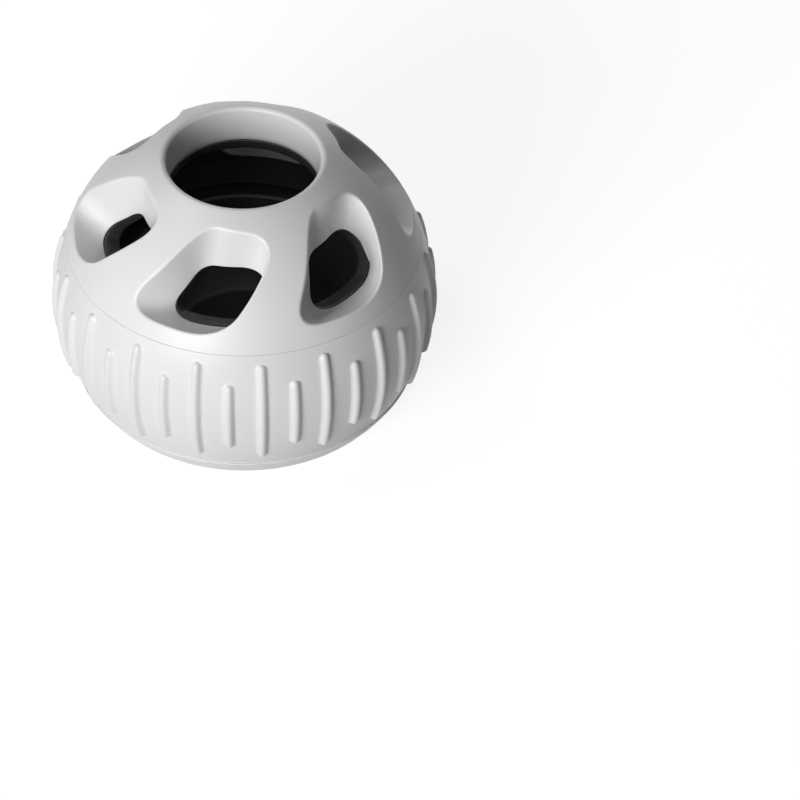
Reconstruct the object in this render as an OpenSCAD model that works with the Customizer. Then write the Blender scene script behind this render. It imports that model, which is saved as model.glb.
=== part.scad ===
// Treat dispensing ball: a soft rubber ball with a flat base that unscrews in two halves.
// The upper half has a round mouth and a ring of leaning windows, the lower half has grip ribs.
// Each half is a pale rubber shell moulded over a dark hard liner, and the liners screw together.
// The frame: Z is the ball's axis, the base stands on Z = 0 and the front window looks along -Y.

/* [Ball] */
// Outside diameter of the round shell
shell_d = 100; // [90:1:120]
// Depth of the flat base below the centre of the ball
base_drop = 27.4; // [25:0.2:30]
// Height of the parting line above the centre of the ball
part_rise = 18; // [16:0.5:20]
// Thickness of the rubber over the dome of the liner
shell_wall = 10; // [8:0.5:11]
// Width of the gap that shows as the parting line
part_gap = 0.2; // [0.1:0.05:0.4]

/* [Mouth] */
// Bore of the mouth at its inner end
mouth_d = 39.8; // [34:0.2:42]
// How much wider the bore is where the lip starts
mouth_flare = 0.2; // [0:0.2:3]
// Radius of the round lip of the mouth
lip_round = 1.2; // [0.8:0.1:3]

/* [Windows] */
// Number of windows round the upper half
window_count = 6; // [4:1:6]
// Turn of the front window from the front of the ball, in degrees
window_turn = -14; // [-30:1:30]
// Angle round the axis that a window's rim takes up, in degrees
rim_angle = 42; // [34:1:44]
// Width of the plain band between the mouth's lip and the windows
top_band = 4.4; // [2.5:0.1:6]
// Width of the plain band between the windows and the parting line
bottom_band = 4.3; // [3.5:0.1:8]
// Angle round the axis that the clear opening at a window's inner end takes up, in degrees
light_angle = 33; // [26:1:36]
// Height of the liner's crown from the top of the clear openings to the mouth's inner edge
crown_h = 2.2; // [1.8:0.1:6]
// Width of the softened edge round a window's rim
rim_soft = 1.4; // [0.8:0.1:2]

/* [Ribs] */
// Number of pairs of one long and one short rib
rib_pairs = 18; // [12:1:20]
// Turn of the first long rib from the front of the ball, in degrees
rib_turn = 4.8; // [0:0.2:20]
// Width of a rib at its root
rib_w = 3.4; // [2.4:0.2:4.4]
// Height of a rib above the shell
rib_h = 1.4; // [0.8:0.1:1.8]
// Height of a long rib's top end above the centre of the ball
long_rib_top = 15.5; // [13:0.5:16]
// Depth of a long rib's bottom end below the centre of the ball
long_rib_bottom = 16.5; // [14:0.5:17.5]
// Height of a short rib's top end above the centre of the ball
short_rib_top = 10; // [7:0.5:12]
// Depth of a short rib's bottom end below the centre of the ball
short_rib_bottom = 12; // [9:0.5:13]

/* [Foot] */
// Height of the foot band round the base
foot_h = 6.4; // [4:0.2:8]
// How far the edge of the base is drawn in from the round of the ball
base_trim = 0.1; // [0:0.1:3]
// Width of the small ledge above the foot band
foot_ledge = 0.6; // [0.3:0.1:1]
// Diameter of the shallow recess under the base
recess_d = 66; // [50:1:72]
// Depth of the shallow recess under the base
recess_h = 1.2; // [0.6:0.1:2]

/* [Upper liner] */
// Thickness of the liner dome
dome_wall = 2.4; // [2:0.2:4]
// How far the flange's rim lies inside the dome's outside
flange_inset = 3; // [1.5:0.1:3]
// Thickness of the flange at the bottom of the dome
flange_h = 1.2; // [1:0.1:3.4]
// How far the outside of the screw spigot lies inside the dome's outside
spigot_inset = 3.1; // [3.1:0.1:4]
// Thickness of the spigot's wall
spigot_wall = 2.2; // [1.8:0.1:3]
// Length of the spigot below the parting line
spigot_h = 10.3; // [8:0.1:11]

/* [Lower liner] */
// Clearance round the spigot, where the screw threads mesh
thread_room = 1.1; // [0.9:0.1:1.3]
// Thickness of the socket's wall
socket_wall = 2; // [1.6:0.1:2.4]
// Inside diameter of the round bowl below the socket
bowl_d = 62; // [54:1:64]
// Thickness of the bowl's wall and of the ledge over it
bowl_wall = 3; // [2.4:0.1:4]
// Depth of the bowl's flat floor below the centre of the ball
floor_drop = 17.9; // [14:0.1:19]

/* [Seal] */
// Thickness of the seal ring under the spigot
seal_h = 1.5; // [1:0.1:2]
// Width of the seal ring's flat section
seal_w = 1.9; // [1.4:0.1:2.1]

/* [Hidden] */

$fn = 96;

// Overrun of every cut past the face that it goes through
over = 1;
// Space between a shell and the liner that it is moulded on
bond = 0.1;
// Space between the seal ring and the ledge that it closes on
seat_gap = 0.1;

shell_r = shell_d / 2;
dome_r = shell_r - shell_wall;
mouth_r = mouth_d / 2;
lip_r = mouth_r + mouth_flare / 2;
lip_centre = [lip_r + lip_round, sqrt(pow(shell_r - lip_round, 2) - pow(lip_r + lip_round, 2))];

base_r = sqrt(pow(shell_r, 2) - pow(base_drop, 2)) - base_trim;
foot_top = foot_h - base_drop;
foot_r = sqrt(pow(shell_r, 2) - pow(foot_top, 2)) + foot_ledge;

flange_r = dome_r - flange_inset;
flange_top = part_rise + flange_h;
spigot_r = dome_r - spigot_inset;
spigot_end = part_rise - spigot_h;

socket_r = spigot_r + thread_room;
socket_out = socket_r + socket_wall;
ledge_top = spigot_end - seal_h - seat_gap;
ledge_under = ledge_top - bowl_wall;
bowl_r = bowl_d / 2;
bowl_out = bowl_r + bowl_wall;
floor_under = floor_drop + bowl_wall;

// Colours of the pale rubber, the dark liner and the black seal
rubber_colour = "#d9d9db";
liner_colour = "#1f2121";
seal_colour = "#0c0d0d";

// A window's rim and clear opening are four-cornered and leaning, with every corner rounded.
// Corners run clockwise from the top left: share of the width, then share of the height.
rim_corner_shares = [[-0.22, 1], [0.73, 0.91], [0.13, 0], [-0.74, 0.04]];
light_corner_shares = [[-0.28, 1.02], [0.78, 1.06], [0.74, 0], [-0.60, -0.02]];
// Share of the side before a corner and of the side after it that the corner's curve takes up
rim_curve_shares = [[0.37, 0.25], [0.42, 0.34], [0.24, 0.35], [0.36, 0.31]];
light_curve_shares = [[0.27, 0.22], [0.46, 0.49], [0.49, 0.48], [0.35, 0.42]];
// Rings down a window's softened edge, as shares of its width: height above the shell, then spread
rim_edge_shares = [[0.5, 1.6], [-0.25, 0.6], [-1, 0.1]];
// Number of steps along each corner's curve
corner_steps = 6;
// Share of its distance from the axis at which a window's cut ends inside the ball
deep_share = 0.6;
// Share of the ball's radius at which a window's cut comes to a point outside the ball
peak_share = 1.3;
// Lift of the liner's window above the flange, which leaves a low curb there
curb = 0.4;

// Number of flats across a rib's rounded back
rib_sides = 6;
// Depth of a rib's root under the surface of the shell
rib_root = 1;
// Stations along a rib from its bottom end: share of its length, then share of its full size
rib_station_shares = [
    [0, 0.40], [0.03, 0.76], [0.08, 0.95], [0.15, 1],
    [0.45, 0.97], [0.70, 0.85], [0.88, 0.65], [1, 0.40],
];

// Height angles of a window's rim and clear opening, seen from the ball's centre
rim_top = atan2(lip_centre[1], lip_centre[0]) - degrees_along(top_band);
rim_bottom = asin(part_rise / shell_r) + degrees_along(bottom_band);
light_top = asin((sqrt(pow(dome_r - dome_wall, 2) - pow(mouth_r, 2)) - crown_h) / dome_r);
light_bottom = atan2(flange_top, flange_r);

// The angle at the ball's centre that a length along the shell takes up
function degrees_along(length) = length / shell_r * 180 / PI;

// The rise at which the skirt from a flange's corner touches the dome, grown by a space
function skirt_rise(space) =
    let (corner = [flange_r + space, flange_top + space])
    atan2(corner[1], corner[0]) + acos((dome_r + space) / norm(corner));

// Distance from the ball's centre to the outside of the liner's dome and skirt at a height angle
function liner_reach(rise) = dome_r / cos(max(0, skirt_rise(0) - rise));

// A point at a turn from the front, a height angle and a distance from the ball's centre
function place(turn, rise, reach) =
    reach * [cos(rise) * sin(turn), -cos(rise) * cos(turn), sin(rise)];

// Points along the curve that rounds the corner between two sides
function corner_curve(before, at, after, shares) =
    let (from = at + (before - at) * shares[0], to = at + (after - at) * shares[1])
    [for (i = [0 : corner_steps]) let (t = i / corner_steps)
        pow(1 - t, 2) * from + 2 * t * (1 - t) * at + pow(t, 2) * to];

// A closed outline with rounded corners, in shares of the window's width and height
function rounded(corners, curves) =
    let (n = len(corners))
    [for (i = [0 : n - 1])
        each corner_curve(corners[(i + n - 1) % n], corners[i], corners[(i + 1) % n], curves[i])];

// The rim's outline on a ball of the given radius
function rim_ring(reach) =
    [for (p = rounded(rim_corner_shares, rim_curve_shares))
        place(p[0] * rim_angle, rim_bottom + p[1] * (rim_top - rim_bottom), reach)];

// The clear opening's outline, from the flange at its bottom to the dome at its top
function light_ring(lift) =
    [for (p = rounded(light_corner_shares, light_curve_shares))
        let (rise = light_bottom + p[1] * (light_top - light_bottom))
        place(p[0] * light_angle, rise, liner_reach(rise)) + [0, 0, lift]];

// A ring of points moved outwards along the ball's surface by a distance
function grown(ring, distance) =
    let (n = len(ring))
    [for (i = [0 : n - 1])
        let (side = cross(ring[i], ring[(i + 1) % n] - ring[(i + n - 1) % n]))
        ring[i] + distance * side / norm(side)];

// A ring of points drawn in towards the axis and lowered
function drawn_in(ring, share, drop) =
    [for (p = ring) [p[0] * share, p[1] * share, p[2] - drop]];

function middle(ring) = [for (axis = [0 : 2]) [for (p = ring) p[axis]] * [for (p = ring) 1] / len(ring)];

// A solid through a stack of rings that run clockwise, each end closed to a point
module loft_to(rings, outer_tip, inner_tip) {
    n = len(rings[0]);
    last = len(rings) - 1;
    walls = [for (level = [0 : last - 1], i = [0 : n - 1])
        let (a = level * n + i, b = level * n + (i + 1) % n)
        each [[a, a + n, b], [b, a + n, b + n]]];
    outer_cap = [for (i = [0 : n - 1]) [i, (i + 1) % n, n * (last + 1)]];
    inner_cap = [for (i = [0 : n - 1]) [last * n + (i + 1) % n, last * n + i, n * (last + 1) + 1]];
    polyhedron(
        concat([for (ring = rings) each ring], [outer_tip, inner_tip]),
        concat(walls, outer_cap, inner_cap)
    );
}

// A solid through a stack of rings with its ends closed across
module loft(rings) {
    loft_to(rings, middle(rings[0]), middle(rings[len(rings) - 1]));
}

// Repeats its children at every window
module at_windows() {
    for (i = [0 : window_count - 1])
        rotate([0, 0, window_turn + i * 360 / window_count])
            children();
}

// The cut of one window, through rings that start outside the ball
module window_cut(rings) {
    outer = middle(rings[0]);
    loft_to(rings, outer * shell_r * peak_share / norm(outer), middle(rings[len(rings) - 1]));
}

// The cut of one window through the rubber, with a softened rim
module shell_window() {
    light = light_ring(0);
    rim = [for (edge = rim_edge_shares) grown(rim_ring(shell_r + rim_soft * edge[0]), rim_soft * edge[1])];
    window_cut(concat(rim, [light, drawn_in(light, deep_share, rim_soft / 2)]));
}

// The cut of one window through the liner
module core_window() {
    light = light_ring(curb);
    window_cut([drawn_in(light, (shell_r + over) / dome_r, 0), light, drawn_in(light, deep_share, 0)]);
}

// Half plane above a height, on the outer side of the axis
module above(height) {
    translate([0, height]) square([shell_r + over, shell_r + over]);
}

// Section of the bore and the round lip of the mouth, which is cut away
module mouth_section() {
    inner_end = sqrt(pow(dome_r - dome_wall, 2) - pow(mouth_r, 2)) - over;
    reach = (shell_r + over) / norm(lip_centre);
    dome_top = sqrt(pow(dome_r, 2) - pow(mouth_r, 2));
    polygon([
        [0, inner_end], [mouth_r, inner_end], [mouth_r, dome_top], [lip_r, lip_centre[1]],
        [lip_r, shell_r + over], [0, shell_r + over],
    ]);
    difference() {
        polygon([
            [lip_r - over, lip_centre[1]], lip_centre, lip_centre * reach, [lip_r - over, shell_r + over],
        ]);
        translate(lip_centre) circle(lip_round);
    }
}

// Section of the room that the upper liner fills: dome, skirt and flange, grown by a space
module upper_core_room(space) {
    touch = skirt_rise(space);
    circle(dome_r + space);
    square([flange_r + space, flange_top + space]);
    polygon([
        [0, 0], [flange_r + space, flange_top + space], (dome_r + space) * [cos(touch), sin(touch)],
    ]);
}

// Section of the room that the lower liner fills: socket, ledge and bowl, grown by a space
module lower_core_room(space) {
    translate([0, ledge_under - space]) square([socket_out + space, part_rise - ledge_under + over]);
    intersection() {
        translate([0, ledge_top]) circle(bowl_out + space);
        translate([0, -floor_under - space]) square([bowl_out + over, floor_under + ledge_top]);
    }
}

// Pale rubber shell of the upper half, with the mouth and the windows
module upper_shell() {
    color(rubber_colour)
        difference() {
            rotate_extrude()
                difference() {
                    intersection() {
                        circle(shell_r);
                        above(part_rise + part_gap / 2);
                    }
                    upper_core_room(bond);
                    mouth_section();
                }
            at_windows() shell_window();
        }
}

// Dark hard liner of the upper half: dome with windows, flange and screw spigot
module upper_core() {
    spigot_in = spigot_r - spigot_wall;
    color(liner_colour)
        difference() {
            rotate_extrude()
                difference() {
                    union() {
                        intersection() {
                            upper_core_room(0);
                            above(part_rise + part_gap / 2);
                        }
                        translate([0, spigot_end]) square([spigot_r, spigot_h + flange_h]);
                    }
                    intersection() {
                        circle(dome_r - dome_wall);
                        above(part_rise - over);
                    }
                    translate([0, spigot_end - over]) square([spigot_in, spigot_h + over]);
                    mouth_section();
                }
            at_windows() core_window();
        }
}

// Black seal ring under the end of the spigot
module seal_ring() {
    color(seal_colour)
        rotate_extrude()
            translate([spigot_r - seal_w, ledge_top + seat_gap]) square([seal_w, seal_h]);
}

// The cross-section of a rib at a height angle: a half ellipse rooted in the shell
function rib_ring(rise, share) =
    [for (side = [0 : rib_sides])
        let (angle = side * 180 / rib_sides)
        place(0, rise, shell_r - rib_root + (rib_root + rib_h) * share * sin(angle))
            - [rib_w / 2 * sqrt(share) * cos(angle), 0, 0]];

// One grip rib along a meridian, blunt at its bottom end and fading out at its top end
module rib(top, bottom) {
    low = -asin(bottom / shell_r);
    high = asin(top / shell_r);
    loft([for (station = rib_station_shares) rib_ring(low + station[0] * (high - low), station[1])]);
}

// All the grip ribs, long and short in turn
module ribs() {
    for (i = [0 : rib_pairs - 1]) {
        turn = rib_turn + i * 360 / rib_pairs;
        rotate([0, 0, turn]) rib(long_rib_top, long_rib_bottom);
        rotate([0, 0, turn + 180 / rib_pairs]) rib(short_rib_top, short_rib_bottom);
    }
}

// Pale rubber shell of the lower half, with the ribs, the foot band and the base
module lower_shell() {
    color(rubber_colour)
        difference() {
            union() {
                rotate_extrude() {
                    intersection() {
                        circle(shell_r);
                        translate([0, foot_top]) square([shell_r, part_rise - part_gap / 2 - foot_top]);
                    }
                    polygon([[0, -base_drop], [base_r, -base_drop], [foot_r, foot_top], [0, foot_top]]);
                }
                ribs();
            }
            rotate_extrude() lower_core_room(bond);
            translate([0, 0, -base_drop - over]) cylinder(h = recess_h + over, d = recess_d);
        }
}

// Dark hard liner of the lower half: screw socket, ledge and round bowl
module lower_core() {
    color(liner_colour)
        rotate_extrude()
            difference() {
                intersection() {
                    lower_core_room(0);
                    translate([0, -floor_under]) square([socket_out, floor_under + part_rise - part_gap / 2]);
                }
                translate([0, ledge_top]) square([socket_r, part_rise]);
                intersection() {
                    translate([0, ledge_top]) circle(bowl_r);
                    translate([0, -floor_drop]) square([bowl_r, floor_drop + ledge_top + over]);
                }
            }
}

// Lifts the ball from its centre to its base
module on_base() {
    translate([0, 0, base_drop]) children();
}

on_base() upper_shell();
on_base() upper_core();
on_base() seal_ring();
on_base() lower_shell();
on_base() lower_core();
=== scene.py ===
"""Treat dispensing ball: rubber shells over dark hard liners, a seal and the screw between the halves.

Lengths are in metres. The ball's axis is Z, its base stands on Z = 0 and its front looks along -Y.
Shapes are worked out from the centre of the ball and lifted to their place when a piece is finished.
"""

from math import acos, asin, atan2, cos, degrees, hypot, pi, radians, sin, sqrt, tan

import bmesh
import bpy
from bpy.props import FloatProperty, FloatVectorProperty, IntProperty, PointerProperty
from bpy.types import Operator, Panel, PropertyGroup
from mathutils import Matrix, Vector


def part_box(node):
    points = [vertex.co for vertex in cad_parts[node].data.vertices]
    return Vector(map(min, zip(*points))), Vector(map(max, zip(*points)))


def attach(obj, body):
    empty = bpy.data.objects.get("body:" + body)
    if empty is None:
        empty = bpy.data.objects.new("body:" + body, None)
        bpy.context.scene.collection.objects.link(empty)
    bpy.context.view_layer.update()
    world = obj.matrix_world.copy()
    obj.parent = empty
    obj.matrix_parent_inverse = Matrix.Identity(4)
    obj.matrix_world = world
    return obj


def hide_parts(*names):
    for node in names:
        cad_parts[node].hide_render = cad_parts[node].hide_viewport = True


bl_info = {
    "name": "Treat Dispensing Ball",
    "version": (1, 0, 0),
    "blender": (4, 5, 0),
    "location": "View3D > Sidebar > Treat Ball",
    "description": "Models a rubber treat dispensing ball that unscrews in two halves",
    "category": "Object",
}

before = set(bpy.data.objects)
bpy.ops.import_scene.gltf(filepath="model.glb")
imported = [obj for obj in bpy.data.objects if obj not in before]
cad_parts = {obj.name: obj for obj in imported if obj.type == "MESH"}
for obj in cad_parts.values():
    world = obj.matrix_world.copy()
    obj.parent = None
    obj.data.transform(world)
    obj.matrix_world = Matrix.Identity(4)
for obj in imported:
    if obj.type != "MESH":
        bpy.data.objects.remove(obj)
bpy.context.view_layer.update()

MM = 0.001
# Points closer together than this are one point, also at a seam and where a section starts
MERGE = 1e-6
SEAM = 5 * MERGE
START = 10 * MERGE

# Height of the middle of the parting line above the base, from the two shells
PARTING = (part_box("lower_shell")[1].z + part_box("upper_shell")[0].z) / 2
# Outer radii that the frame gives
SOCKET_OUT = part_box("lower_core")[1].x
SEAL_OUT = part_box("seal_ring")[1].x

# Steps along the four stretches of a window's outline, and along one corner's curve
STRETCH_STEPS = 36
BEND_STEPS = 24
# Steps along a rounded edge, and steps round a revolved piece
ARC_STEPS = 6
ROUND_STEPS = 192
# A flat face gets a point this many times an edge's set-back away from its corner, so it shades flat
LEAD_IN = 1.4
# Columns of the lower shell for each rib, rows on each rib's end, and spacing of the other rows
RIB_COLUMNS = 16
END_ROWS = 9
ROW = 0.8 * MM
# Spacing of the columns on a rib's back, as a share of even spacing
DRAWN = 0.5
# Power by which a rib gets lower towards its top
LOWERING_POWER = 1.5
# Plain stretch of the lower shell between its rows and its edges
PLAIN = 0.3 * MM
# Stretch under the parting edge over which the round shell counts as straight
STRAIGHT = 1 * MM
# Steps along the lip, down the neck and through the liner's mouth
LIP_STEPS = 16
NECK_STEPS = 8
BORE_STEPS = 4
# Steps along the bowl's inside, along its underside and along the rubber that it stands in
BOWL_STEPS = 32
UNDER_STEPS = 16
BED_STEPS = 12
# The bowl's rows start this many roundings of its edge below the ledge
BOWL_START = 1.6

# Flat faces across a thread ridge, and degrees of turn for each step along it
THREAD_FLATS = 8
THREAD_STEP = 4
# Power that makes a ridge's section fuller than a half round
FULLNESS = 0.7

# Corners of a window's rim and clear opening, clockwise from the top left: share of the width, then
# share of the height
RIM_CORNER_SHARES = ((-0.22, 1.0), (0.73, 0.91), (0.13, 0.0), (-0.74, 0.04))
LIGHT_CORNER_SHARES = ((-0.28, 1.02), (0.78, 1.06), (0.74, 0.0), (-0.60, -0.02))
# Share of the side before a corner and of the side after it that the corner's curve takes up
RIM_CURVE_SHARES = ((0.37, 0.25), (0.42, 0.34), (0.24, 0.35), (0.36, 0.31))
LIGHT_CURVE_SHARES = ((0.27, 0.22), (0.46, 0.49), (0.49, 0.48), (0.35, 0.42))
# Rings between a window's softened rim and the edge of its sector, as shares of the way
SPREAD_SHARES = (0.08, 0.2, 0.36, 0.52, 0.68, 0.82, 0.93, 1.0)
# Rings down the wall of a window, and rings where the rubber lies on the liner, as shares of the way
WALL_SHARES = (0.06, 0.14, 0.24, 0.35, 0.46, 0.57, 0.68, 0.78, 0.87, 0.95, 1.0)
SEAT_SHARES = (0.1, 0.3, 0.6, 1.0)


def linear(hex_colour):
    """An sRGB hex colour as linear red, green and blue."""
    channels = [int(hex_colour[i : i + 2], 16) / 255 for i in (0, 2, 4)]
    return [c / 12.92 if c <= 0.04045 else ((c + 0.055) / 1.055) ** 2.4 for c in channels]


def length(name, description, millimetres):
    """A length property, given in millimetres."""
    return FloatProperty(
        name=name, description=description, default=millimetres * MM, unit="LENGTH", precision=4
    )


def angle(name, description, turn):
    """An angle property, given in degrees."""
    return FloatProperty(name=name, description=description, default=radians(turn), unit="ROTATION")


def fraction(name, description, part):
    """A property that is a share of another size."""
    return FloatProperty(name=name, description=description, default=part, subtype="FACTOR", min=0, max=1)


def power(name, description, watts):
    """A lamp's power property, given in watts."""
    return FloatProperty(name=name, description=description, default=watts, unit="POWER")


def colour(name, description, hex_colour):
    """A colour property, given as sRGB hex."""
    return FloatVectorProperty(
        name=name, description=description, default=linear(hex_colour), subtype="COLOR", size=3, min=0, max=1
    )


class ShellSizes(PropertyGroup):
    """Sizes of the pale rubber shells"""

    radius: length("Shell radius", "Outside radius of the round shell", 50)
    parting: length("Parting height", "Height of the parting line above the ball's centre", 18)
    wall: length("Dome rubber", "Thickness of the rubber over the liner's dome", 10)
    gap: length("Parting gap", "Width of the gap at the parting line", 0.06)
    edge: length("Parting edge", "Rounding of both shells' edges at the parting line", 0.06)
    band: length("Edge band", "Plain band between a window's sector and the edges of its shell", 0.7)
    bond: length("Bond", "Space between a shell and the liner that it is moulded on", 0.1)
    mouth: length("Mouth radius", "Radius of the mouth at its inner end", 19.9)
    flare: length("Mouth flare", "How much wider the mouth's radius is where the lip starts", 0.1)
    lip: length("Lip rounding", "Radius of the mouth's round lip", 1.2)


class WindowSizes(PropertyGroup):
    """Sizes of the leaning windows"""

    count: IntProperty(name="Windows", description="Number of windows round the upper half", default=6)
    turn: angle("Window turn", "Turn of the front window from the front of the ball", -14)
    rim_angle: angle("Rim angle", "Angle round the axis that a window's rim takes up", 42)
    top_band: length("Top band", "Plain band between the lip and the windows", 4.4)
    bottom_band: length("Bottom band", "Plain band between the windows and the parting line", 4.3)
    light_angle: angle("Opening angle", "Angle round the axis that the clear opening takes up", 33)
    crown: length("Crown", "Liner from the top of the clear openings to the mouth's inner edge", 2.2)
    soft: length("Rim rounding", "Set-back of the rounded edge round a window's rim", 0.75)
    inner_soft: length("Inner rounding", "Set-back of the rounded edge where the rubber ends", 0.35)
    curb: length("Curb", "Lift of the liner's window above the flange", 0.4)


class RibSizes(PropertyGroup):
    """Sizes of the grip ribs"""

    pairs: IntProperty(name="Rib pairs", description="Pairs of one long and one short rib", default=18)
    turn: angle("Rib turn", "Turn of the first long rib from the front of the ball", 4.8)
    width: length("Rib width", "Width of a rib at its root", 3.4)
    height: length("Rib height", "Height of a rib above the shell", 1.34)
    root: length("Rib root", "Depth of a rib's root under the shell's surface", 1)
    blend: length("Rib blend", "Softness of the corner between a rib and the shell", 0.08)
    top_end: length("Rib top end", "Length of the rounding at a rib's top end", 1.5)
    bottom_end: length("Rib bottom end", "Length of the rounding at a rib's bottom end", 1.6)
    level: fraction("Rib level part", "Share of a rib, from its bottom, that has its full height", 0.3)
    lowering: fraction("Rib lowering", "Share of the height that a rib loses towards its top", 0.3)
    narrowing: fraction("Rib narrowing", "Share of the width that a rib loses towards its bottom", 0.16)
    long_top: length("Long rib top", "Top end of a long rib above the centre", 15.5)
    long_bottom: length("Long rib bottom", "Bottom end of a long rib below the centre", 16.5)
    short_top: length("Short rib top", "Top end of a short rib above the centre", 10)
    short_bottom: length("Short rib bottom", "Bottom end of a short rib below the centre", 12)


class FootSizes(PropertyGroup):
    """Sizes of the foot band and the base"""

    height: length("Foot height", "Height of the foot band", 6.4)
    ledge: length("Foot ledge", "Width of the small ledge above the foot band", 0.6)
    trim: length("Base trim", "How far the base's edge is drawn in from the round of the ball", 0.1)
    edge: length("Foot edge", "Rounding of the foot band's top edge", 0.22)
    base_edge: length("Base edge", "Rounding of the foot band's bottom edge", 0.7)
    bulge: length("Foot bulge", "How far the foot band's face swells between its edges", 0.15)
    recess: length("Recess radius", "Radius of the shallow recess under the base", 33)
    recess_depth: length("Recess depth", "Depth of the shallow recess under the base", 1.2)


class LinerSizes(PropertyGroup):
    """Sizes of the dark hard liners and the seal"""

    dome_wall: length("Dome wall", "Thickness of the liner's dome", 2.4)
    flange_inset: length("Flange inset", "How far the flange lies inside the dome's outside", 3)
    flange_height: length("Flange height", "Thickness of the flange above the parting line", 1.2)
    spigot_inset: length("Spigot inset", "How far the spigot lies inside the dome's outside", 3.1)
    spigot_wall: length("Spigot wall", "Thickness of the screw spigot's wall", 2.2)
    spigot_length: length("Spigot length", "Length of the spigot below the parting line", 10.3)
    socket_wall: length("Socket wall", "Thickness of the socket's wall", 2)
    bowl: length("Bowl radius", "Inside radius of the round bowl", 31)
    bowl_wall: length("Bowl wall", "Thickness of the bowl and of the ledge over it", 3)
    floor_drop: length("Bowl floor", "Depth of the bowl's flat floor below the centre", 17.9)
    edge: length("Liner edge", "Rounding of the liners' moulded edges", 0.4)
    ledge_edge: length("Ledge edge", "Rounding of the ledge's inner edge, over the bowl", 1)
    floor_edge: length("Floor edge", "Rounding between the bowl's wall and its floor", 3)
    seal_width: length("Seal width", "Width of the seal ring's section", 1.9)
    seal_height: length("Seal height", "Thickness of the seal ring", 1.5)
    seal_edge: length("Seal edge", "Rounding of the seal ring's edges", 0.45)
    seal_gap: length("Seal gap", "Space between the seal ring and the ledge under it", 0.1)


class ThreadSizes(PropertyGroup):
    """Sizes of the screw between the halves"""

    starts: IntProperty(name="Thread starts", description="Number of threads side by side", default=3)
    lead: length("Lead", "Rise of a thread in one full turn", 12)
    height: length("Thread height", "Height of a thread ridge above its wall", 0.85)
    width: length("Thread width", "Width of a thread ridge at its root", 1.8)
    sink: length("Thread sink", "Depth of a ridge's root inside its wall", 0.08)
    sweep: angle("Thread sweep", "Turn that each thread ridge takes up", 150)
    margin: length("Thread margin", "Space between a thread's low end and the end of its wall", 1.2)
    fade: fraction("Thread fade", "Share of a thread ridge's sweep over which each end fades out", 0.12)


class FinishColours(PropertyGroup):
    """Colours of the moulded materials"""

    rubber: colour("Rubber", "Pale grey rubber of the shells", "e2e2e4")
    liner: colour("Liner", "Charcoal nylon of the liners", "2c2e2e")
    # The seal's near-black is partly painted shade, standing for the shadow in the gap under the spigot
    seal: colour("Seal", "Black silicone of the seal", "0e0f0f")
    floor: colour("Floor", "Pale studio floor", "969698")


class StageSettings(PropertyGroup):
    """Camera and lights"""

    distance: length("Distance", "Camera's distance from the ball's centre", 1000)
    elevation: angle("Elevation", "Height angle of the camera above the ball's centre", 41.41)
    roll: angle("Roll", "Turn of the camera about its line of sight to the ball", -0.69)
    lens: FloatProperty(
        name="Lens", description="Focal length on the 36 mm sensor", default=168.62, unit="CAMERA"
    )
    key_turn: angle("Key turn", "Turn of the key light from the front of the ball", -30)
    key_rise: angle("Key rise", "Height angle of the key light above the ball's centre", 12)
    key_distance: length("Key distance", "Distance of the key light from the ball", 1300)
    key_size: length("Key size", "Side of the key light", 800)
    key: power("Key light", "Power of the large low light", 19.5)
    top: power("Top light", "Power of the overhead light", 2)
    back: power("Back light", "Power of the light behind the ball", 2)
    ambient: FloatProperty(name="Ambient", description="Strength of the world's soft light", default=0.05)


# Place of the ball's centre in the picture, and the picture's side, in pixels
CENTRE_PIXEL = (244.87, 287.91)
PICTURE = 800
# Width of the camera's sensor in millimetres
SENSOR = 36
# Places of the lights over and behind the ball, from its centre, and their sides
TOP_AT, TOP_SIZE = Vector((-0.5, 0.1, 0.9)), 0.4
BACK_AT, BACK_SIZE = Vector((0.1, 1.0, 0.3)), 0.6
# Half the side of the floor
FLOOR = 3.0


def place(turn, rise, reach):
    """A point at a turn from the front, a height angle and a distance from the ball's centre."""
    return Vector((cos(rise) * sin(turn), -cos(rise) * cos(turn), sin(rise))) * reach


def placed(edge, reach):
    """Points at pairs of a turn and a height angle, at one distance from the ball's centre."""
    return [place(turn, rise, reach) for turn, rise in edge]


def turn_of(point):
    """The turn of a point from the front of the ball, towards +X."""
    return atan2(point[0], -point[1])


def rise_of(point):
    """The height angle of a point seen from the ball's centre."""
    return atan2(point[2], hypot(point[0], point[1]))


def bend(before, at, after, share):
    """A point on the curve that starts towards a corner and leaves it towards the next point."""
    return before * (1 - share) ** 2 + at * 2 * share * (1 - share) + after * share**2


def stretches(corners, curves):
    """Four stretches of a rounded outline, each from the middle of a corner to the middle of the next."""
    corners = [Vector(corner) for corner in corners]
    bends = []
    for i, at in enumerate(corners):
        start = at.lerp(corners[i - 1], curves[i][0])
        end = at.lerp(corners[(i + 1) % len(corners)], curves[i][1])
        bends.append([bend(start, at, end, step / BEND_STEPS) for step in range(BEND_STEPS + 1)])
    half = BEND_STEPS // 2
    result = []
    for points, following in zip(bends, bends[1:] + bends[:1]):
        side = [points[-1].lerp(following[0], step / BEND_STEPS) for step in range(1, BEND_STEPS)]
        result.append(points[half:] + side + following[: half + 1])
    return result


def spaced(points, count):
    """Points spaced evenly along a line of points, with its start and without its end."""
    reach = [0.0]
    for a, b in zip(points, points[1:]):
        reach.append(reach[-1] + (b - a).length)
    result, at = [], 0
    for step in range(count):
        goal = reach[-1] * step / count
        while reach[at + 1] < goal:
            at += 1
        share = (goal - reach[at]) / (reach[at + 1] - reach[at])
        result.append(points[at].lerp(points[at + 1], share))
    return result


def lip_place(shell):
    """Radius and height angle of the middle of the lip's rounding."""
    radius = shell.mouth + shell.flare + shell.lip
    return radius, acos(radius / (shell.radius - shell.lip))


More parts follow.
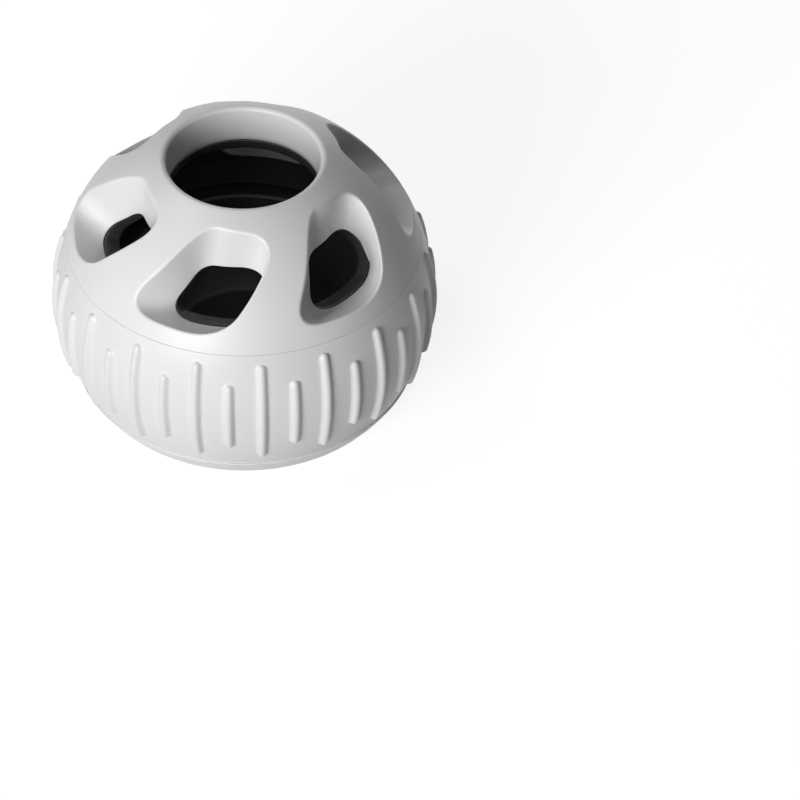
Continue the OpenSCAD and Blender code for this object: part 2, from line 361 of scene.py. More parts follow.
def window_limits(shell, windows, liner):
    """Height angles of the rim's and the clear opening's bottom and top."""
    reach = shell.radius
    low = asin(shell.parting / reach) + windows.bottom_band / reach
    high = lip_place(shell)[1] - windows.top_band / reach
    dome = reach - shell.wall
    flange = skirt(shell, liner, 0)[0]
    crown = sqrt((dome - liner.dome_wall) ** 2 - shell.mouth**2) - windows.crown
    light = (atan2(flange.y, flange.x), asin(crown / dome))
    return (low, high), light


def skirt(shell, liner, space):
    """The flange's corner and the height angle where the skirt touches the dome, grown by a space."""
    dome = shell.radius - shell.wall + space
    corner = Vector((dome - liner.flange_inset, shell.parting + liner.flange_height + space))
    return corner, atan2(corner.y, corner.x) + acos(dome / corner.length)


def laid(ring, shell, liner, space):
    """A ring of points moved in or out to the upper liner's dome, skirt or flange, grown by a space."""
    corner, touch_rise = skirt(shell, liner, space)
    corner_rise = atan2(corner.y, corner.x)
    dome = shell.radius - shell.wall + space
    result = []
    for point in ring:
        rise = rise_of(point)
        reach = dome / cos(max(0, touch_rise - rise)) if rise > corner_rise else corner.x / cos(rise)
        result.append(point.normalized() * reach)
    return result


def window_rings(shell, windows, liner):
    """The rim of the front window on the ball, and its clear opening where the rubber meets the liner."""
    rim_rises, light_rises = window_limits(shell, windows, liner)

    def ring(corners, curves, width, rises):
        points = []
        for stretch in stretches(corners, curves):
            turns = [windows.turn + x * width for x, y in stretch]
            heights = [rises[0] + y * (rises[1] - rises[0]) for x, y in stretch]
            points += spaced(placed(zip(turns, heights), shell.radius), STRETCH_STEPS)
        return points

    rim = ring(RIM_CORNER_SHARES, RIM_CURVE_SHARES, windows.rim_angle, rim_rises)
    light = ring(LIGHT_CORNER_SHARES, LIGHT_CURVE_SHARES, windows.light_angle, light_rises)
    return rim, laid(light, shell, liner, shell.bond)


def sector_edge(windows, bottom, top):
    """Turns and height angles along the edge of one window's sector, which leans as the window does.

    bottom and top are the height angles of its ends. Its corners go with the window's corners.
    """
    middles = [
        (RIM_CORNER_SHARES[2][0] + RIM_CORNER_SHARES[3][0]) / 2,
        (RIM_CORNER_SHARES[0][0] + RIM_CORNER_SHARES[1][0]) / 2,
    ]
    low, high = (windows.turn + share * windows.rim_angle for share in middles)
    half = pi / windows.count
    corners = ((high - half, top), (high + half, top), (low + half, bottom), (low - half, bottom))
    corners = [Vector(corner) for corner in corners]
    edge = []
    for corner, following in zip(corners, corners[1:] + corners[:1]):
        edge += [corner.lerp(following, step / STRETCH_STEPS) for step in range(STRETCH_STEPS)]
    return edge


def grown(ring, distance):
    """A clockwise ring of points moved outwards along the ball's surface."""
    result = []
    for i, point in enumerate(ring):
        side = point.cross(ring[(i + 1) % len(ring)] - ring[i - 1])
        result.append(point + side.normalized() * distance)
    return result


def on_ball(ring, reach):
    """A ring of points moved in or out to a distance from the ball's centre."""
    return [point.normalized() * reach for point in ring]


def between(ring, border, shares):
    """Rings at shares of the way from one ring to another."""
    return [[a.lerp(b, share) for a, b in zip(ring, border)] for share in shares]


def edge_rings(before, at, after, steps):
    """Rings of a rounded edge, from the ring before the edge to the ring after it."""
    return [[bend(*three, step / steps) for three in zip(before, at, after)] for step in range(steps + 1)]


def extrude_edges(bm, edges):
    """Extrudes edges, and gives the new vertices as the keys of a dictionary, which keeps their order."""
    made = bmesh.ops.extrude_edge_only(bm, edges=edges)["geom"]
    return {item: None for item in made if isinstance(item, bmesh.types.BMVert)}


def extruded(bm, ring, points):
    """Extrudes a closed ring of vertices and moves the new ring to the given points."""
    fresh = extrude_edges(bm, [bm.edges.get(pair) for pair in zip(ring, ring[1:] + ring[:1])])
    following = []
    for vert in ring:
        partners = (edge.other_vert(vert) for edge in vert.link_edges)
        following.append(next(partner for partner in partners if partner in fresh))
    for vert, point in zip(following, points):
        vert.co = point
    return following


def spin(bm, geom, sweep, steps, **options):
    """Turns geometry about the axis in steps."""
    bmesh.ops.spin(bm, geom=geom, cent=(0, 0, 0), axis=(0, 0, 1), angle=sweep, steps=steps, **options)


def joined(bm, distance=MERGE):
    """Joins the vertices of a mesh that are closer together than a distance."""
    bmesh.ops.remove_doubles(bm, verts=bm.verts[:], dist=distance)


def repeated(bm, count):
    """Repeats a mesh round the axis, and joins the copies where they meet."""
    everything = bm.verts[:] + bm.edges[:] + bm.faces[:]
    spin(bm, everything, 2 * pi * (count - 1) / count, count - 1, use_duplicate=True)
    joined(bm)


def window_sectors(rings, count):
    """A mesh of one window's rings, extruded one from the other and repeated round the axis."""
    bm = bmesh.new()
    ring = [bm.verts.new(point) for point in rings[0]]
    for pair in zip(ring, ring[1:] + ring[:1]):
        bm.edges.new(pair)
    for points in rings[1:]:
        ring = extruded(bm, ring, points)
    repeated(bm, count)
    return bm


def carry_round(bm, section):
    """Extrudes the open edge that lies at a section's first point along the rest of the section."""

    def on_start(vert):
        place_in_section = Vector((hypot(vert.co.x, vert.co.y), vert.co.z))
        return (place_in_section - Vector(section[0])).length < START

    edges = [e for e in bm.edges if e.is_boundary and all(on_start(v) for v in e.verts)]
    for radius, height in section[1:]:
        fresh = extrude_edges(bm, edges)
        edges = list({e: None for v in fresh for e in v.link_edges if e.other_vert(v) in fresh})
        for vert in fresh:
            scale = radius / hypot(vert.co.x, vert.co.y)
            vert.co = (vert.co.x * scale, vert.co.y * scale, height)


def rounded_section(*corners):
    """An outline through corners (radius, height, rounding), each rounding a true arc.

    A point is added close before and after each arc, so that flat faces shade flat up to it.
    """
    outline = []
    for i, (radius, height, rounding) in enumerate(corners):
        at = Vector((radius, height))
        if not rounding:
            outline.append(at)
            continue
        before = (Vector(corners[i - 1][:2]) - at).normalized()
        after = (Vector(corners[(i + 1) % len(corners)][:2]) - at).normalized()
        half = before.angle(after) / 2
        back = rounding / tan(half)
        centre = at + (before + after).normalized() * rounding / sin(half)
        start = at + before * back - centre
        end = at + after * back - centre
        sweep = atan2(start.x * end.y - start.y * end.x, start.dot(end))
        outline.append(at + before * back * LEAD_IN)
        for step in range(ARC_STEPS + 1):
            outline.append(centre + Matrix.Rotation(sweep * step / ARC_STEPS, 2) @ start)
        outline.append(at + after * back * LEAD_IN)
    return outline


def sphere_section(reach, start, end, steps, centre=0.0):
    """Points of a section along a sphere about the axis, between two height angles."""
    rises = [start + (end - start) * step / steps for step in range(steps + 1)]
    return [Vector((reach * cos(rise), centre + reach * sin(rise))) for rise in rises]


def spun(section, steps, closed=False, start=0.0, sweep=2 * pi, rise=0.0):
    """A mesh turned from a section about the axis, all the way round or part of it, with a rise if wanted."""
    bm = bmesh.new()
    verts = [bm.verts.new(place(start, 0, radius) + Vector((0, 0, height))) for radius, height in section]
    edges = [bm.edges.new(pair) for pair in zip(verts, verts[1:] + verts[:1] if closed else verts[1:])]
    spin(bm, verts + edges, sweep, steps, dvec=(0, 0, rise / steps), use_merge=sweep == 2 * pi)
    joined(bm)
    return bm


def add_object(bm, name, material):
    """Adds a mesh to the scene as an object with one material."""
    mesh = bpy.data.meshes.new(name)
    bm.to_mesh(mesh)
    bm.free()
    mesh.materials.append(material)
    made = bpy.data.objects.new(name, mesh)
    bpy.context.scene.collection.objects.link(made)
    return made


def add_piece(bm, name, body, finish, *nodes):
    """Turns a mesh into a piece in its place, which rides on a body and may stand for nodes."""
    bmesh.ops.recalc_face_normals(bm, faces=bm.faces[:])
    if bm.calc_volume(signed=True) < 0:
        bmesh.ops.reverse_faces(bm, faces=bm.faces[:])
    lift = PARTING - bpy.context.scene.ball_shell.parting
    bmesh.ops.translate(bm, vec=(0, 0, lift), verts=bm.verts[:])
    for face in bm.faces:
        face.smooth = True
    material, build, slot = finish
    piece = add_object(bm, name, made_material(material, build))
    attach(piece, body)
    if nodes:
        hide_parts(*nodes)


def add_node(tree, kind, settings=None, links=None):
    """Adds a node with its settings and with links from other nodes' outputs to its inputs."""
    node = tree.nodes.new("ShaderNode" + kind)
    for name, value in (settings or {}).items():
        if name in node.inputs:
            node.inputs[name].default_value = value
        else:
            setattr(node, name, value)
    for name, source in (links or {}).items():
        tree.links.new(source, node.inputs[name])
    return node


def made_material(name, build):
    """A material built with the scene's colours, or the one of that name that is there already."""
    material = bpy.data.materials.get(name)
    if not material:
        material = bpy.data.materials.new(name)
        material.use_nodes = True
        material.node_tree.nodes.clear()
        build(material.node_tree, bpy.context.scene.ball_colours)
    return material


def seen_rays(tree):
    """An output that is one for rays from the camera and for rays that show in gloss or glass."""
    paths = add_node(tree, "LightPath")
    value = paths.outputs["Is Camera Ray"]
    for name in ("Is Glossy Ray", "Is Transmission Ray"):
        both = {0: value, 1: paths.outputs[name]}
        value = add_node(tree, "Math", {"operation": "MAXIMUM"}, both).outputs[0]
    return value


def grained(tree, size, strength, depth, detail=2.0):
    """Outputs of the object's coordinates and of a normal with fine grain of a given size and depth."""
    at = add_node(tree, "TexCoord").outputs["Object"]
    grain = add_node(tree, "TexNoise", {"Scale": 1 / size, "Detail": detail}, {"Vector": at})
    height = {"Height": grain.outputs["Fac"]}
    return at, add_node(tree, "Bump", {"Strength": strength, "Distance": depth}, height).outputs["Normal"]


def finished(tree, settings, links):
    """Adds the surface of a moulded material and its output."""
    surface = add_node(tree, "BsdfPrincipled", settings, links)
    add_node(tree, "OutputMaterial", links={"Surface": surface.outputs["BSDF"]})


def shell_rubber(tree, colours):
    """Moulded rubber: matte and even, with the fine grain of a blasted mould and faint cloudiness."""
    # Mould grain, drawn at 0.5 mm because the true 0.1 mm is too fine to show
    at, normal = grained(tree, 0.5 * MM, 0.12, 0.04 * MM)
    # Cloudy patches about 12 mm across, where the rubber cooled at another rate
    cloud = add_node(tree, "TexNoise", {"Scale": 1 / (12 * MM), "Detail": 3.0}, {"Vector": at})
    tint = add_node(tree, "Mix", {"data_type": "RGBA"}, {"Factor": cloud.outputs["Fac"]})
    tint.inputs["A"].default_value = (*colours.rubber, 1.0)
    tint.inputs["B"].default_value = (*(channel * 0.94 for channel in colours.rubber), 1.0)
    links = {"Base Color": tint.outputs["Result"], "Normal": normal}
    finished(tree, {"Roughness": 0.4, "IOR": 1.5}, links)


def liner_nylon(tree, colours):
    """Moulded nylon: nearly black, with the satin shine of a fine spark-eroded mould."""
    # Mould grain, drawn at 0.4 mm because the true 0.08 mm is too fine to show
    at, normal = grained(tree, 0.4 * MM, 0.15, 0.03 * MM)
    # The shine changes a little over patches about 9 mm across
    patches = add_node(tree, "TexNoise", {"Scale": 1 / (9 * MM)}, {"Vector": at})
    gloss = add_node(tree, "MapRange", {"To Min": 0.34, "To Max": 0.46}, {"Value": patches.outputs["Fac"]})
    links = {"Roughness": gloss.outputs["Result"], "Normal": normal}
    finished(tree, {"Base Color": (*colours.liner, 1.0), "Specular IOR Level": 0.3}, links)


def seal_silicone_and_gap_shade(tree, colours):
    """Moulded silicone: soft, with a waxy low shine. Its near-black is partly painted shade, standing for the
    shadow in the gap under the spigot's end.
    """
    # Faint flow marks about 1 mm apart
    normal = grained(tree, 1 * MM, 0.1, 0.04 * MM, 1.0)[1]
    finished(tree, {"Base Color": (*colours.seal, 1.0), "Roughness": 0.4, "IOR": 1.43}, {"Normal": normal})


def studio_paper(tree, colours):
    """Matte studio paper: lifted to white for the camera, and it keeps the ball's shadow."""
    # Paper tooth about 0.8 mm across
    normal = grained(tree, 0.8 * MM, 0.05, 0.05 * MM)[1]
    paper = add_node(
        tree, "BsdfDiffuse", {"Color": (*colours.floor, 1.0), "Roughness": 1.0}, {"Normal": normal}
    )
    # The lift to white is seen, but it doesn't light the ball
    strength = add_node(tree, "MapRange", {"To Max": 0.86}, {"Value": seen_rays(tree)})
    white = {"Color": (1.0, 1.0, 1.0, 1.0)}
    lift = add_node(tree, "Emission", white, {"Strength": strength.outputs["Result"]})
    both = {0: paper.outputs["BSDF"], 1: lift.outputs["Emission"]}
    lifted = add_node(tree, "AddShader", links=both)
    add_node(tree, "OutputMaterial", links={"Surface": lifted.outputs["Shader"]})


# Finishes of the pieces: a material's name, what builds it, and its slot
RUBBER = ("moulded_rubber", shell_rubber, "shell_rubber")
NYLON = ("moulded_nylon", liner_nylon, "liner")
# The seal's finish is partly painted shade: a near-black ring where the gap under the spigot is in shadow
SEAL_AND_SHADE = ("silicone_and_painted_gap_shade", seal_silicone_and_gap_shade, "seal")


class Undoable:
    """What all the operators share"""

    bl_options = {"REGISTER", "UNDO"}


class BALL_OT_upper_shell(Undoable, Operator):
    """Moulds the pale rubber shell of the upper half, with its mouth and leaning windows"""

    bl_idname = "ball.upper_shell"
    bl_label = "Upper Shell"

    def execute(self, context):
        scene = context.scene
        shell, windows, liner = scene.ball_shell, scene.ball_windows, scene.ball_liner
        reach = shell.radius
        parting = shell.parting + shell.gap / 2
        lip_out, lip_rise = lip_place(shell)
        low_rise = asin(parting / reach) + shell.band / reach
        high_rise = lip_rise - shell.band / reach
        dome = reach - shell.wall + shell.bond
        flange_out = dome - liner.flange_inset

        rim, light = window_rings(shell, windows, liner)
        soft = on_ball(grown(rim, windows.soft), reach)
        down = [(b - a).normalized() for a, b in zip(rim, light)]
        wall_top = [a + d * windows.soft for a, d in zip(rim, down)]
        wall_end = [b - d * windows.inner_soft for b, d in zip(light, down)]
        seat = laid(grown(light, windows.inner_soft), shell, liner, shell.bond)
        border = placed(sector_edge(windows, low_rise, high_rise), reach)
        rings = [on_ball(ring, reach) for ring in between(soft, border, SPREAD_SHARES[::-1])]
        rings += edge_rings(soft, rim, wall_top, ARC_STEPS * 2)
        rings += between(wall_top, wall_end, WALL_SHARES)
        rings += edge_rings(wall_end, light, seat, ARC_STEPS)[1:]
        high = acos(shell.mouth / dome)
        border = sector_edge(windows, atan2(parting, flange_out), high)
        starts = [Vector((turn_of(point), rise_of(point))) for point in seat]
        for ring in between(starts, border, SEAT_SHARES):
            rings.append(laid(placed(ring, reach), shell, liner, shell.bond))
        bm = window_sectors(rings, windows.count)

        lip_centre = Vector((lip_out, (reach - shell.lip) * sin(lip_rise)))
        lip = [Vector((reach * cos(high_rise), reach * sin(high_rise)))]
        lip += [lip_centre + point for point in sphere_section(shell.lip, lip_rise, pi, LIP_STEPS)]
        neck_end = Vector((shell.mouth, dome * sin(high)))
        neck = [lip[-1].lerp(neck_end, (step + 1) / NECK_STEPS) for step in range(NECK_STEPS)]
        carry_round(bm, lip + neck)
        foot = rounded_section(
            (reach * cos(low_rise), reach * sin(low_rise), 0),
            (sqrt(reach**2 - parting**2), parting, shell.edge),
            (flange_out, parting, 0),
        )
        carry_round(bm, foot)
        joined(bm, SEAM)
        add_piece(bm, "upper_shell_rubber", "upper_half", RUBBER, "upper_shell")
        return {"FINISHED"}


class BALL_OT_upper_liner(Undoable, Operator):
    """Moulds the dark liner of the upper half: dome with windows, flange and screw spigot"""

    bl_idname = "ball.upper_liner"
    bl_label = "Upper Liner"

    def execute(self, context):
        scene = context.scene
        shell, windows, liner = scene.ball_shell, scene.ball_windows, scene.ball_liner
        parting = shell.parting + shell.gap / 2
        outside = shell.radius - shell.wall
        inside = outside - liner.dome_wall
        spigot_out = outside - liner.spigot_inset
        spigot_in = spigot_out - liner.spigot_wall
        spigot_end = shell.parting - liner.spigot_length
        corner, touch_rise = skirt(shell, liner, 0)
        edge = liner.edge

        # The window is cut square through the liner, and its sill lies a little above the flange
        sill = shell.parting + windows.curb
        outer_edge, inner_edge = [], []
        for point in window_rings(shell, windows, liner)[1]:
            height = max(point.z + windows.curb, corner.y + windows.curb / 2)
            radius = sqrt(outside**2 - height**2)
            if height < outside * sin(touch_rise):
                radius = (outside - height * sin(touch_rise)) / cos(touch_rise)
            level = Vector((point.x, point.y, 0)).normalized()
            outer_edge.append(level * radius + Vector((0, 0, height)))
            height = max(height * inside / hypot(radius, height), sill)
            inner_edge.append(level * sqrt(inside**2 - height**2) + Vector((0, 0, height)))
        outer_soft = laid(grown(outer_edge, edge), shell, liner, 0)
        inner_soft = on_ball(grown(inner_edge, edge / 2), inside)
        through = [(b - a).normalized() for a, b in zip(outer_edge, inner_edge)]
        wall_top = [a + d * edge for a, d in zip(outer_edge, through)]
        wall_end = [b - d * edge for b, d in zip(inner_edge, through)]
        flange_low = corner.y - edge
        border = sector_edge(windows, atan2(flange_low, corner.x), acos(shell.mouth / outside))
        border = placed(border, outside)
        rings = [laid(ring, shell, liner, 0) for ring in between(outer_soft, border, SPREAD_SHARES[::-1])]
        rings += edge_rings(outer_soft, outer_edge, wall_top, ARC_STEPS)
        rings += edge_rings(wall_end, inner_edge, inner_soft, ARC_STEPS)
        border = sector_edge(windows, asin(shell.parting / inside), acos(shell.mouth / inside))
        border = placed(border, inside)
        rings += [on_ball(ring, inside) for ring in between(inner_soft, border, SPREAD_SHARES)]
        bm = window_sectors(rings, windows.count)

        bore_top = Vector((shell.mouth, sqrt(outside**2 - shell.mouth**2)))
        bore_end = Vector((shell.mouth, sqrt(inside**2 - shell.mouth**2)))
        carry_round(bm, [bore_top.lerp(bore_end, step / BORE_STEPS) for step in range(BORE_STEPS + 1)])
        spigot = rounded_section(
            (corner.x, flange_low, 0),
            (corner.x, parting, 0),
            (spigot_out, parting, 0),
            (spigot_out, spigot_end, edge),
            (spigot_in, spigot_end, edge),
            (spigot_in, shell.parting, edge),
            (sqrt(inside**2 - shell.parting**2), shell.parting, 0),
        )
        carry_round(bm, spigot)
        joined(bm, SEAM)
        add_piece(bm, "upper_liner_nylon", "upper_half", NYLON, "upper_core")
        return {"FINISHED"}


def bowl_outside(shell, liner, space, steps):
    """The bowl's underside, grown by a space, with the heights of the ledge's top and underside."""
    top = shell.parting - liner.spigot_length - liner.seal_height - liner.seal_gap
    under = top - liner.bowl_wall - space
    floor = -liner.floor_drop - liner.bowl_wall - space
    reach = liner.bowl + liner.bowl_wall + space
    round_part = sphere_section(reach, asin((floor - top) / reach), asin((under - top) / reach), steps, top)
    return [Vector((0, floor))] + round_part, top, under


def rib_span(long, ribs):
    """Heights of a rib's bottom and top ends above the ball's centre."""
    return (-ribs.long_bottom, ribs.long_top) if long else (-ribs.short_bottom, ribs.short_top)


def rib_lift(turn, height, ribs, reach):
    """Height of the ribs over the shell at a turn and a height above the ball's centre."""
    pitch = pi / ribs.pairs
    number = round((turn - ribs.turn) / pitch)
    bottom, top = (asin(end / reach) for end in rib_span(number % 2 == 0, ribs))
    rise = asin(height / reach)
    if not bottom < rise < top:
        return 0.0
    # A rib is lower towards its top and narrower towards its bottom, and both its ends are round
    way = (rise - bottom) / (top - bottom)
    fade = (max(0.0, way - ribs.level) / (1 - ribs.level)) ** LOWERING_POWER
    from_bottom = min((rise - bottom) * reach / ribs.bottom_end, 1)
    from_top = min((top - rise) * reach / ribs.top_end, 1)
    ends = sqrt(1 - (1 - from_bottom) ** 2) * sqrt(1 - (1 - from_top) ** 2)
    crest = ribs.height * (1 - ribs.lowering * fade) * ends
    size = (crest + ribs.root) / (ribs.height + ribs.root)
    across = (turn - ribs.turn - number * pitch) * reach * cos(rise)
    half = ribs.width / 2 * (1 - ribs.narrowing * (1 - way)) * sqrt(size * ends)
    lift = (crest + ribs.root) * sqrt(max(0.0, 1 - (across / half) ** 2)) - ribs.root
    # The corner between rib and shell is softened
    rest = (ribs.root - sqrt(ribs.root**2 + ribs.blend**2)) / 2
    return (lift + sqrt(lift**2 + ribs.blend**2)) / 2 + rest


def side_rises(ribs, reach, top, bottom):
    """Height angles of the lower shell's rows, from top to bottom, closer where ribs end."""
    heights = set()
    marks = [top, bottom]
    for low, high in (rib_span(True, ribs), rib_span(False, ribs)):
        for end, inwards in ((high, -ribs.top_end), (low, ribs.bottom_end)):
            marks += [end, end + inwards]
            heights |= {end + inwards * (1 - cos(pi / 2 * row / END_ROWS)) for row in range(END_ROWS + 1)}
    marks.sort()
    for low, high in zip(marks[::2], marks[1::2]):
        count = max(1, round((high - low) / ROW))
        heights |= {low + (high - low) * row / count for row in range(count + 1)}
    return [asin(height / reach) for height in sorted(heights, reverse=True)]


class BALL_OT_lower_shell(Undoable, Operator):
    """Moulds the pale rubber shell of the lower half, with its ribs, foot band and base"""

    bl_idname = "ball.lower_shell"
    bl_label = "Lower Shell"

    def execute(self, context):
        scene = context.scene
        shell, ribs, foot, liner = scene.ball_shell, scene.ball_ribs, scene.ball_foot, scene.ball_liner
        reach = shell.radius
        parting = shell.parting - shell.gap / 2
        base = shell.parting - PARTING
        foot_top = foot.height + base
        base_out = sqrt(reach**2 - base**2) - foot.trim
        foot_in = sqrt(reach**2 - foot_top**2)
        foot_out = foot_in + foot.ledge
        socket_out = SOCKET_OUT + shell.bond

        bed, _, ledge_under = bowl_outside(shell, liner, shell.bond, BED_STEPS)
        bed += rounded_section((*bed[-1], 0), (socket_out, ledge_under, 0), (socket_out, parting, 0))[1:]
        rim_end = parting - STRAIGHT
        rim = rounded_section(
            (socket_out, parting, 0),
            (sqrt(reach**2 - parting**2), parting, shell.edge),
            (sqrt(reach**2 - rim_end**2), rim_end, 0),
        )[1:-2]
        rises = side_rises(ribs, reach, parting - PLAIN, foot_top + PLAIN)
        side = [Vector((reach * cos(rise), reach * sin(rise))) for rise in rises]
        swell = Vector((foot.height, base_out - foot_out)).normalized() * foot.bulge
        band = rounded_section(
            (*side[-1], 0),
            (foot_in, foot_top, foot.edge / 2),
            (foot_out, foot_top, foot.edge),
            (*(Vector((base_out + foot_out, base + foot_top)) / 2 + swell), 0),
            (base_out, base, foot.base_edge),
            (foot.recess, base, foot.edge * 2),
            (foot.recess, base + foot.recess_depth, foot.edge * 2),
            (0, base + foot.recess_depth, 0),
        )[1:]
        # One long and one short rib are shaped, and the pair is repeated
        pitch = pi / ribs.pairs
        bm = spun(bed + rim + side + band, 2 * RIB_COLUMNS, start=ribs.turn - pitch / 2, sweep=2 * pitch)
        for vert in bm.verts:
            radius = hypot(vert.co.x, vert.co.y)
            if radius < MERGE:
                continue
            turn = turn_of(vert.co)
            number = round((turn - ribs.turn) / pitch)
            # Columns are drawn together on each rib's back, where they are most needed
            across = (turn - ribs.turn) / pitch - number
            across *= DRAWN + (1 - DRAWN) * (2 * across) ** 2
            turn = ribs.turn + (number + across) * pitch
            height = vert.co.z
            on_side = abs(vert.co.length - reach) < MERGE and foot_top < height < parting
            lift = rib_lift(turn, height, ribs, reach) if on_side else 0.0
            scale = 1 + lift / vert.co.length
            vert.co = (radius * scale * sin(turn), -radius * scale * cos(turn), height * scale)
        repeated(bm, ribs.pairs)
        add_piece(bm, "lower_shell_rubber", "lower_half", RUBBER, "lower_shell")
        return {"FINISHED"}


class BALL_OT_lower_liner(Undoable, Operator):
    """Moulds the dark liner of the lower half: screw socket, ledge and round bowl"""

    bl_idname = "ball.lower_liner"
    bl_label = "Lower Liner"

    def execute(self, context):
        scene = context.scene
        shell, liner = scene.ball_shell, scene.ball_liner
        parting = shell.parting - shell.gap / 2
        floor = -liner.floor_drop
        socket_in = SOCKET_OUT - liner.socket_wall
        edge = liner.edge

        outside, ledge_top, ledge_under = bowl_outside(shell, liner, 0, UNDER_STEPS)
        bowl_top = -asin(BOWL_START * liner.ledge_edge / liner.bowl)
        bowl_low = asin((floor - ledge_top) / liner.bowl)
        bowl_end = bowl_low + liner.floor_edge / liner.bowl
        bowl = sphere_section(liner.bowl, bowl_top, bowl_end, BOWL_STEPS, ledge_top)
        top = rounded_section(
            (*outside[-1], 0),
            (SOCKET_OUT, ledge_under, edge),
            (SOCKET_OUT, parting, edge),
            (socket_in, parting, edge),
            (socket_in, ledge_top, edge),
            (liner.bowl, ledge_top, liner.ledge_edge),
            (*bowl[0], 0),
        )[1:-1]
        floor_out = liner.bowl * cos(bowl_low)
        low = rounded_section((*bowl[-1], 0), (floor_out, floor, liner.floor_edge), (0, floor, 0))[2:]
        bm = spun(outside + top + bowl + low, ROUND_STEPS)
        add_piece(bm, "lower_liner_nylon", "lower_half", NYLON, "lower_core")
        return {"FINISHED"}


class BALL_OT_seal_ring(Undoable, Operator):
    """Moulds the silicone ring under the end of the spigot, whose near-black is partly painted shade for the
    gap there
    """

    bl_idname = "ball.seal_ring"
    bl_label = "Seal Ring"

    def execute(self, context):
        scene = context.scene
        shell, liner = scene.ball_shell, scene.ball_liner
        top = shell.parting - liner.spigot_length
        inside = SEAL_OUT - liner.seal_width
        low = top - liner.seal_height
        edge = liner.seal_edge
        section = rounded_section(
            (inside, low, edge), (SEAL_OUT, low, edge), (SEAL_OUT, top, edge / 2), (inside, top, edge / 2)
        )
        bm = spun(section, ROUND_STEPS, closed=True)
        add_piece(bm, "seal_ring_silicone", "seal", SEAL_AND_SHADE, "seal_ring")
        return {"FINISHED"}


def thread_ridges(threads, wall, side, low):
    """Ridges of a screw thread on the outer (1) or inner (-1) side of a wall, which fade at both ends."""
    root = wall - side * threads.sink
    section = []
    for step in range(THREAD_FLATS + 1):
        around = pi * step / THREAD_FLATS
        stand = (threads.height + threads.sink) * sin(around) ** FULLNESS
        section.append((root + side * stand, low - threads.width / 2 * cos(around)))
    steps = round(degrees(threads.sweep) / THREAD_STEP)
    rise = threads.lead * threads.sweep / (2 * pi)
    bm = spun(section, steps, closed=True, sweep=threads.sweep, rise=rise)
    for vert in bm.verts:
        # A turn just under a whole one is the ridge's start, a rounding error off, and fades fully too
        share = (turn_of(vert.co) % (2 * pi)) / threads.sweep
        fade = max(0.0, min(1, share / threads.fade, (1 - share) / threads.fade))
        fade = fade**2 * (3 - 2 * fade)
        radius = hypot(vert.co.x, vert.co.y)
        scale = (root + (radius - root) * fade) / radius
        vert.co = (vert.co.x * scale, vert.co.y * scale, vert.co.z)
    bmesh.ops.holes_fill(bm, edges=[e for e in bm.edges if e.is_boundary])
    repeated(bm, threads.starts)
    return bm


class BALL_OT_screw_threads(Undoable, Operator):
    """Adds the meshing thread ridges of the spigot and the socket"""

    bl_idname = "ball.screw_threads"
    bl_label = "Screw Threads"

    def execute(self, context):
        scene = context.scene
        shell, liner, threads = scene.ball_shell, scene.ball_liner, scene.ball_threads
        low = shell.parting - liner.spigot_length + threads.margin + threads.width / 2
        bm = thread_ridges(threads, SEAL_OUT, 1, low)
        add_piece(bm, "spigot_threads", "upper_half", NYLON)
        # The socket's ridges run midway between the spigot's
        pitch = threads.lead / threads.starts
        bm = thread_ridges(threads, SOCKET_OUT - liner.socket_wall, -1, low + pitch / 2)
        add_piece(bm, "socket_threads", "lower_half", NYLON)
        return {"FINISHED"}


def add_light(name, place_at, target, size, watts):
    """Adds a square area light that looks at a point."""
    data = bpy.data.lights.new(name, "AREA")
    data.size = size
    data.energy = watts
    light = bpy.data.objects.new(name, data)
    light.location = place_at
    light.rotation_euler = (target - place_at).to_track_quat("-Z", "Y").to_euler()
    bpy.context.scene.collection.objects.link(light)


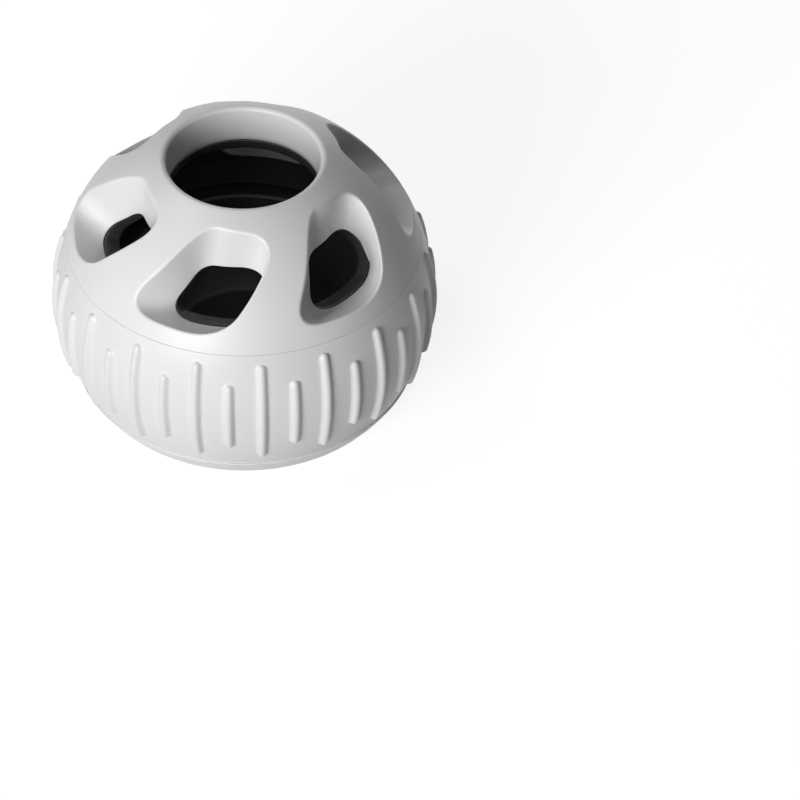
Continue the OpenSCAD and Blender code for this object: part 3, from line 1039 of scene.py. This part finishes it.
class BALL_OT_stage(Undoable, Operator):
    """Sets the pale floor, the soft lights and the camera"""

    bl_idname = "ball.stage"
    bl_label = "Stage"

    def execute(self, context):
        scene = context.scene
        stage = scene.ball_stage
        middle = Vector((0, 0, PARTING - scene.ball_shell.parting))

        bm = bmesh.new()
        bmesh.ops.create_grid(bm, x_segments=4, y_segments=4, size=FLOOR)
        floor = add_object(bm, "floor", made_material("studio_paper", studio_paper))

        key_at = middle + place(stage.key_turn, stage.key_rise, stage.key_distance)
        add_light("key_light", key_at, middle, stage.key_size, stage.key)
        add_light("top_light", middle + TOP_AT, middle, TOP_SIZE, stage.top)
        add_light("back_light", middle + BACK_AT, middle, BACK_SIZE, stage.back)

        world = bpy.data.worlds.new("studio")
        scene.world = world
        world.use_nodes = True
        tree = world.node_tree
        tree.nodes.clear()
        seen = seen_rays(tree)
        limits = {"To Min": stage.ambient, "To Max": 1.0}
        strength = add_node(tree, "MapRange", limits, {"Value": seen}).outputs["Result"]
        sky = add_node(tree, "Background", {"Color": (1.0, 1.0, 1.0, 1.0)}, {"Strength": strength})
        add_node(tree, "OutputWorld", links={"Surface": sky.outputs["Background"]})

        # The camera is aimed so that the ball's centre falls on its pixel
        back = Vector((0, -cos(stage.elevation), sin(stage.elevation)))
        right = Vector((1, 0, 0))
        level = Matrix((right, right.cross(-back), back)).transposed()
        focal = stage.lens / SENSOR * PICTURE
        sight = Vector(
            ((CENTRE_PIXEL[0] - PICTURE / 2) / focal, (PICTURE / 2 - CENTRE_PIXEL[1]) / focal, -1)
        ).normalized()
        aim = sight.rotation_difference(Vector((0, 0, -1))).to_matrix()
        turned = level @ Matrix.Rotation(stage.roll, 3, "Z") @ aim
        data = bpy.data.cameras.new("camera")
        data.lens = stage.lens
        data.sensor_width = SENSOR
        data.clip_start = 0.05
        camera = bpy.data.objects.new("camera", data)
        camera.matrix_world = Matrix.Translation(middle + back * stage.distance) @ turned.to_4x4()
        scene.collection.objects.link(camera)
        scene.camera = camera
        scene.view_settings.view_transform = "Standard"
        return {"FINISHED"}


PIECES = (
    BALL_OT_upper_shell,
    BALL_OT_upper_liner,
    BALL_OT_lower_shell,
    BALL_OT_lower_liner,
    BALL_OT_seal_ring,
    BALL_OT_screw_threads,
    BALL_OT_stage,
)


class BALL_PT_panel(Panel):
    """Lists the pieces of the treat ball and the stage"""

    bl_idname = "BALL_PT_panel"
    bl_label = "Treat Dispensing Ball"
    bl_space_type = "VIEW_3D"
    bl_region_type = "UI"
    bl_category = "Treat Ball"

    def draw(self, context):
        for piece in PIECES:
            self.layout.operator(piece.bl_idname)


GROUPS = {
    "ball_shell": ShellSizes,
    "ball_windows": WindowSizes,
    "ball_ribs": RibSizes,
    "ball_foot": FootSizes,
    "ball_liner": LinerSizes,
    "ball_threads": ThreadSizes,
    "ball_colours": FinishColours,
    "ball_stage": StageSettings,
}


def register():
    for group in (*GROUPS.values(), *PIECES, BALL_PT_panel):
        bpy.utils.register_class(group)
    for name, group in GROUPS.items():
        setattr(bpy.types.Scene, name, PointerProperty(type=group))


def unregister():
    for name in GROUPS:
        delattr(bpy.types.Scene, name)
    for group in reversed((*GROUPS.values(), *PIECES, BALL_PT_panel)):
        bpy.utils.unregister_class(group)


def main():
    register()
    bpy.ops.ball.upper_shell()
    bpy.ops.ball.upper_liner()
    bpy.ops.ball.lower_shell()
    bpy.ops.ball.lower_liner()
    bpy.ops.ball.seal_ring()
    bpy.ops.ball.screw_threads()
    bpy.ops.ball.stage()


if __name__ == "__main__":
    main()
